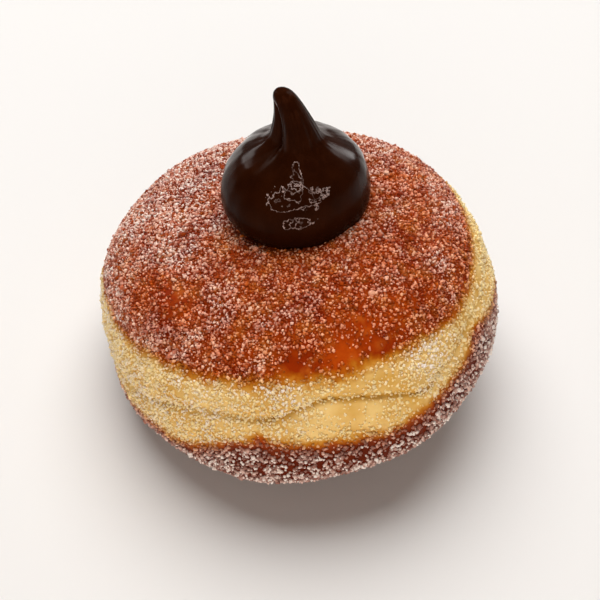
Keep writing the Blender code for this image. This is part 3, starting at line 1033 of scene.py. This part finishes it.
class DOUGHNUT_OT_stage(bpy.types.Operator):
    """Sets up the floor, the lights and the camera"""

    bl_idname = "doughnut.stage"
    bl_label = "Stage"

    def execute(self, context):
        look = context.scene.doughnut_stage
        bpy.ops.object.select_all(action="DESELECT")
        bpy.ops.mesh.primitive_plane_add(size=look.floor_size, location=(0, 0, 0))
        floor = context.object
        floor.name = "floor"
        material, _, shader, _ = start_material("matt pale board")
        shader.inputs["Base Color"].default_value = (*look.floor, 1.0)
        shader.inputs["Roughness"].default_value = 0.9
        shader.inputs["Specular IOR Level"].default_value = 0.1
        floor.data.materials.append(material)
        middle = Vector((0, 0, RING_CENTRE_Z))
        key = add_light("key", look.key, *KEY_LIGHT, middle)
        key.visible_glossy = False
        for name, size, place in BACK_LIGHTS:
            back = add_light(name, look.back * size[0] * size[1], size, place, middle)
            back.visible_diffuse = False
        fill = add_light("fill", look.fill, *FILL_LIGHT, middle)
        fill.data.color = WARM_LIGHT
        fill.visible_glossy = False
        world = bpy.data.worlds.new("studio")
        world.use_nodes = True
        sky = world.node_tree.nodes["Background"]
        sky.inputs["Color"].default_value = (*WARM_LIGHT, 1.0)
        sky.inputs["Strength"].default_value = look.sky
        context.scene.world = world
        context.scene.view_settings.view_transform = "Standard"
        add_camera(context, middle)
        return {"FINISHED"}


def add_light(name, power, size, place, target):
    bpy.ops.object.select_all(action="DESELECT")
    bpy.ops.object.light_add(type="AREA", location=place)
    light = bpy.context.object
    light.name = name
    light.data.energy = power
    light.data.shape = "ELLIPSE"
    light.data.size, light.data.size_y = size
    light.rotation_euler = (target - Vector(place)).to_track_quat("-Z", "Y").to_euler()
    return light


def add_camera(context, middle):
    """Aims so that the middle of the widest ring falls where it does in the photo, without a shift."""
    back = Vector((0, -math.cos(CAMERA_ELEVATION), math.sin(CAMERA_ELEVATION)))
    right = Vector((1, 0, 0))
    up = back.cross(right)
    across, down = (p - PHOTO_WIDTH / 2 for p in RING_CENTRE_PX)
    aim = middle + (up * down - right * across) * CAMERA_DISTANCE / FOCAL_PX
    place = middle + back * CAMERA_DISTANCE
    bpy.ops.object.select_all(action="DESELECT")
    bpy.ops.object.camera_add(location=place)
    camera = context.object
    camera.name = "camera"
    camera.rotation_euler = (aim - place).to_track_quat("-Z", "Y").to_euler()
    camera.data.sensor_width = SENSOR_MM
    camera.data.lens = FOCAL_PX / PHOTO_WIDTH * SENSOR_MM
    camera.data.clip_start = CLIP_START
    context.scene.camera = camera


class DOUGHNUT_PT_panel(bpy.types.Panel):
    """Lists the doughnut's settings and the buttons that make it"""

    bl_idname = "DOUGHNUT_PT_panel"
    bl_label = "Filled Doughnut"
    bl_space_type = "VIEW_3D"
    bl_region_type = "UI"
    bl_category = "Doughnut"

    def draw(self, context):
        for operator, group in PANEL_ROWS:
            box = self.layout.box()
            for field in SETTINGS[group].__annotations__:
                box.prop(getattr(context.scene, group), field)
            box.operator(operator)


PANEL_ROWS = (
    ("doughnut.bun", "doughnut_crust"),
    ("doughnut.dollop", "doughnut_dollop"),
    ("doughnut.sugar", "doughnut_sugar"),
    ("doughnut.stage", "doughnut_stage"),
)
SETTINGS = {
    "doughnut_crust": CrustSettings,
    "doughnut_dollop": DollopSettings,
    "doughnut_sugar": SugarSettings,
    "doughnut_stage": StageSettings,
}
CLASSES = (
    *SETTINGS.values(),
    DOUGHNUT_OT_bun,
    DOUGHNUT_OT_dollop,
    DOUGHNUT_OT_sugar,
    DOUGHNUT_OT_stage,
    DOUGHNUT_PT_panel,
)


def register():
    for cls in CLASSES:
        bpy.utils.register_class(cls)
    for name, group in SETTINGS.items():
        setattr(bpy.types.Scene, name, PointerProperty(type=group))


def unregister():
    for name in SETTINGS:
        delattr(bpy.types.Scene, name)
    for cls in reversed(CLASSES):
        bpy.utils.unregister_class(cls)


def main():
    register()
    bpy.ops.doughnut.bun()
    bpy.ops.doughnut.dollop()
    bpy.ops.doughnut.sugar()
    bpy.ops.doughnut.stage()


if __name__ == "__main__":
    main()
